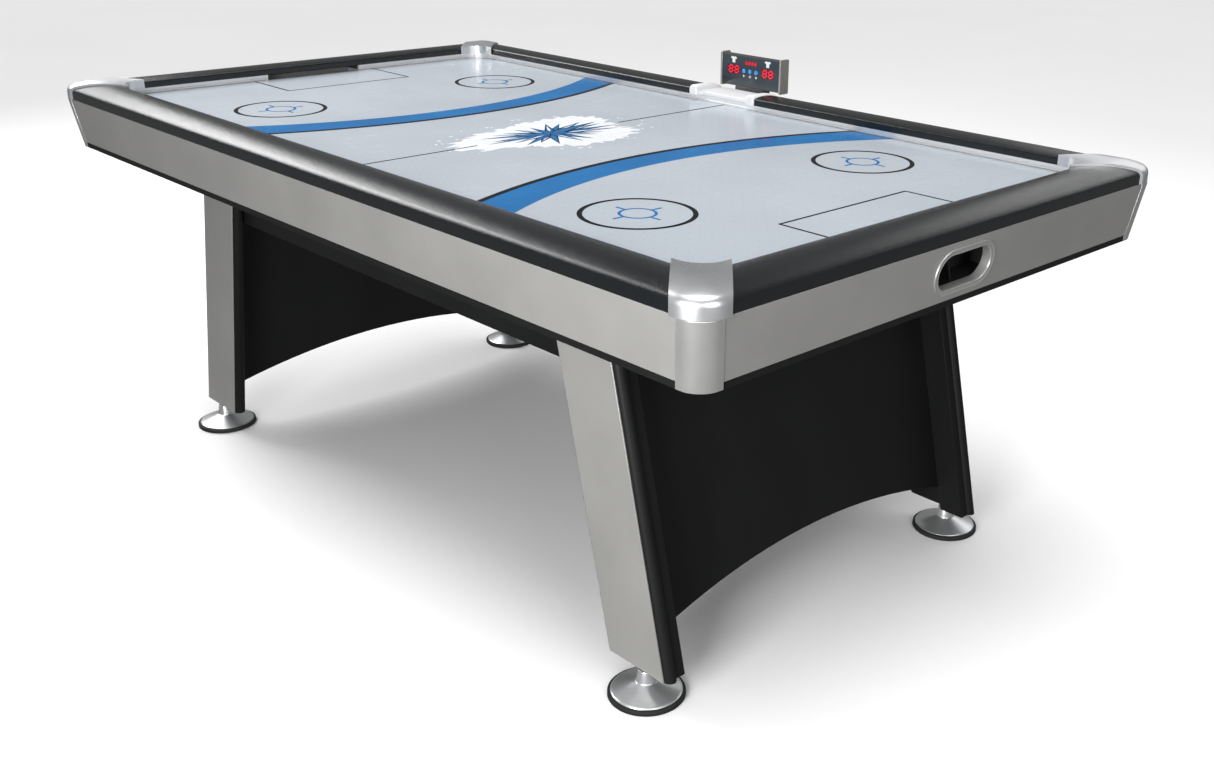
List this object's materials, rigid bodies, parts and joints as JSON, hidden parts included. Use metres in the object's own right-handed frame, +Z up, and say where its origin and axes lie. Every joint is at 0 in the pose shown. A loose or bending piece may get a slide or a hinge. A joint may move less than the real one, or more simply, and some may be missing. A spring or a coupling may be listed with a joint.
{
  "type": "air hockey table",
  "caption": "Free-standing air hockey table with cushioned black rails, silver corner caps, splayed legs on levelers, end puck returns and a scoreboard.",
  "frame": {"origin": "centre of the bounding box on the floor", "axes": "+X along the table's length, towards the right seen from the front; +Y across the table towards the scoreboard side; +Z up"},
  "size_m": [2.142, 1.254, 0.906],
  "materials": {
    "playfield": "fibreboard with a gloss pale blue-white laminate, printed lines",
    "black_board": "fibreboard in black wood-grain laminate",
    "silver_board": "fibreboard in satin silver laminate with a fine speckle",
    "rail_wrap": "fibreboard core wrapped in black orange-peel film",
    "fence_metal": "extruded, satin",
    "cap_plastic": "moulded, satin silver",
    "steel": "zinc plated",
    "foot_rubber": "moulded, matt",
    "foot_metal": "cast and turned, satin",
    "tray_plastic": "moulded, matt",
    "motor_metal": "satin",
    "cable": "matt",
    "score_plastic": "moulded, satin",
    "score_glass": "tinted gloss",
    "display_red": "glowing digits",
    "circuit_board": "lacquered",
    "button_blue": "moulded, gloss"
  },
  "bodies": {
    "table": {"playfield": "playfield", "chamber_base": "black_board", "chamber_walls": "black_board", "side_stretchers": "black_board", "apron_front": "silver_board", "apron_back": "silver_board", "apron_left": "silver_board", "apron_right": "silver_board", "rail_front": "rail_wrap", "rail_back_left": "rail_wrap", "rail_back_right": "rail_wrap", "rail_left": "rail_wrap", "rail_right": "rail_wrap", "fence_front": "fence_metal", "fence_back": "fence_metal", "fence_left": "fence_metal", "fence_right": "fence_metal", "fence_corners": "fence_metal", "cap_front_left": "cap_plastic", "cap_front_right": "cap_plastic", "cap_back_left": "cap_plastic", "cap_back_right": "cap_plastic", "corner_posts": "cap_plastic", "centre_cap": "cap_plastic", "leg_front_left": "black_board", "leg_front_right": "black_board", "leg_back_left": "black_board", "leg_back_right": "black_board", "leg_facings": "silver_board", "leg_cleats": "black_board", "end_panel_left": "black_board", "end_panel_right": "black_board", "leg_bolts": "steel", "leg_inserts": "steel", "puck_tray_left": "tray_plastic", "puck_tray_right": "tray_plastic", "return_bezel_left": "cap_plastic", "return_bezel_right": "cap_plastic", "goal_sensors": "tray_plastic", "blower_housing": "tray_plastic", "blower_motor": "motor_metal", "power_inlet": "tray_plastic", "wiring": "cable", "score_housing": "score_plastic", "score_face": "score_glass", "score_side_caps": "cap_plastic", "score_displays": "display_red", "score_board": "circuit_board"},
    "foot_pad_front_left": {"pad_front_left": "foot_rubber"},
    "foot_screw_front_left": {"leveler_front_left": "foot_metal"},
    "foot_pad_front_right": {"pad_front_right": "foot_rubber"},
    "foot_screw_front_right": {"leveler_front_right": "foot_metal"},
    "foot_pad_back_left": {"pad_back_left": "foot_rubber"},
    "foot_screw_back_left": {"leveler_back_left": "foot_metal"},
    "foot_pad_back_right": {"pad_back_right": "foot_rubber"},
    "foot_screw_back_right": {"leveler_back_right": "foot_metal"},
    "push_start": {"button_start": "button_blue"},
    "push_power": {"button_power": "button_blue"},
    "push_mode": {"button_mode": "button_blue"},
    "blower_wheel": {"impeller": "tray_plastic"}
  },
  "joints": [
    {"name": "pad_drop_front_left", "type": "slide", "parent": "table", "child": "foot_pad_front_left", "axis": [0, 0, -1], "range_m": [0, 0.02]},
    {"name": "screw_turn_front_left", "type": "hinge", "parent": "foot_pad_front_left", "child": "foot_screw_front_left", "pos_m": [-0.7835, -0.457, 0.03], "axis": [0, 0, -1], "range_deg": [0, 4801]},
    {"name": "pad_drop_front_right", "type": "slide", "parent": "table", "child": "foot_pad_front_right", "axis": [0, 0, -1], "range_m": [0, 0.02]},
    {"name": "screw_turn_front_right", "type": "hinge", "parent": "foot_pad_front_right", "child": "foot_screw_front_right", "pos_m": [0.7835, -0.457, 0.03], "axis": [0, 0, -1], "range_deg": [0, 4801]},
    {"name": "pad_drop_back_left", "type": "slide", "parent": "table", "child": "foot_pad_back_left", "axis": [0, 0, -1], "range_m": [0, 0.02]},
    {"name": "screw_turn_back_left", "type": "hinge", "parent": "foot_pad_back_left", "child": "foot_screw_back_left", "pos_m": [-0.7835, 0.425, 0.03], "axis": [0, 0, -1], "range_deg": [0, 4801]},
    {"name": "pad_drop_back_right", "type": "slide", "parent": "table", "child": "foot_pad_back_right", "axis": [0, 0, -1], "range_m": [0, 0.02]},
    {"name": "screw_turn_back_right", "type": "hinge", "parent": "foot_pad_back_right", "child": "foot_screw_back_right", "pos_m": [0.7835, 0.425, 0.03], "axis": [0, 0, -1], "range_deg": [0, 4801]},
    {"name": "press_start", "type": "slide", "parent": "table", "child": "push_start", "axis": [0, 1, 0], "range_m": [0, 0.0015], "stiffness_N_per_m": 400, "springref_m": -0.001},
    {"name": "press_power", "type": "slide", "parent": "table", "child": "push_power", "axis": [0, 1, 0], "range_m": [0, 0.0015], "stiffness_N_per_m": 400, "springref_m": -0.001},
    {"name": "press_mode", "type": "slide", "parent": "table", "child": "push_mode", "axis": [0, 1, 0], "range_m": [0, 0.0015], "stiffness_N_per_m": 400, "springref_m": -0.001},
    {"name": "blower_spin", "type": "hinge", "parent": "table", "child": "blower_wheel", "pos_m": [0, -0.016, 0.7], "axis": [0, 0, 1], "continuous": true}
  ],
  "couplings": [
    {"joint": "screw_turn_front_left", "follows": "pad_drop_front_left", "rad_per_m": 4188.8},
    {"joint": "screw_turn_front_right", "follows": "pad_drop_front_right", "rad_per_m": 4188.8},
    {"joint": "screw_turn_back_left", "follows": "pad_drop_back_left", "rad_per_m": 4188.8},
    {"joint": "screw_turn_back_right", "follows": "pad_drop_back_right", "rad_per_m": 4188.8}
  ]
}
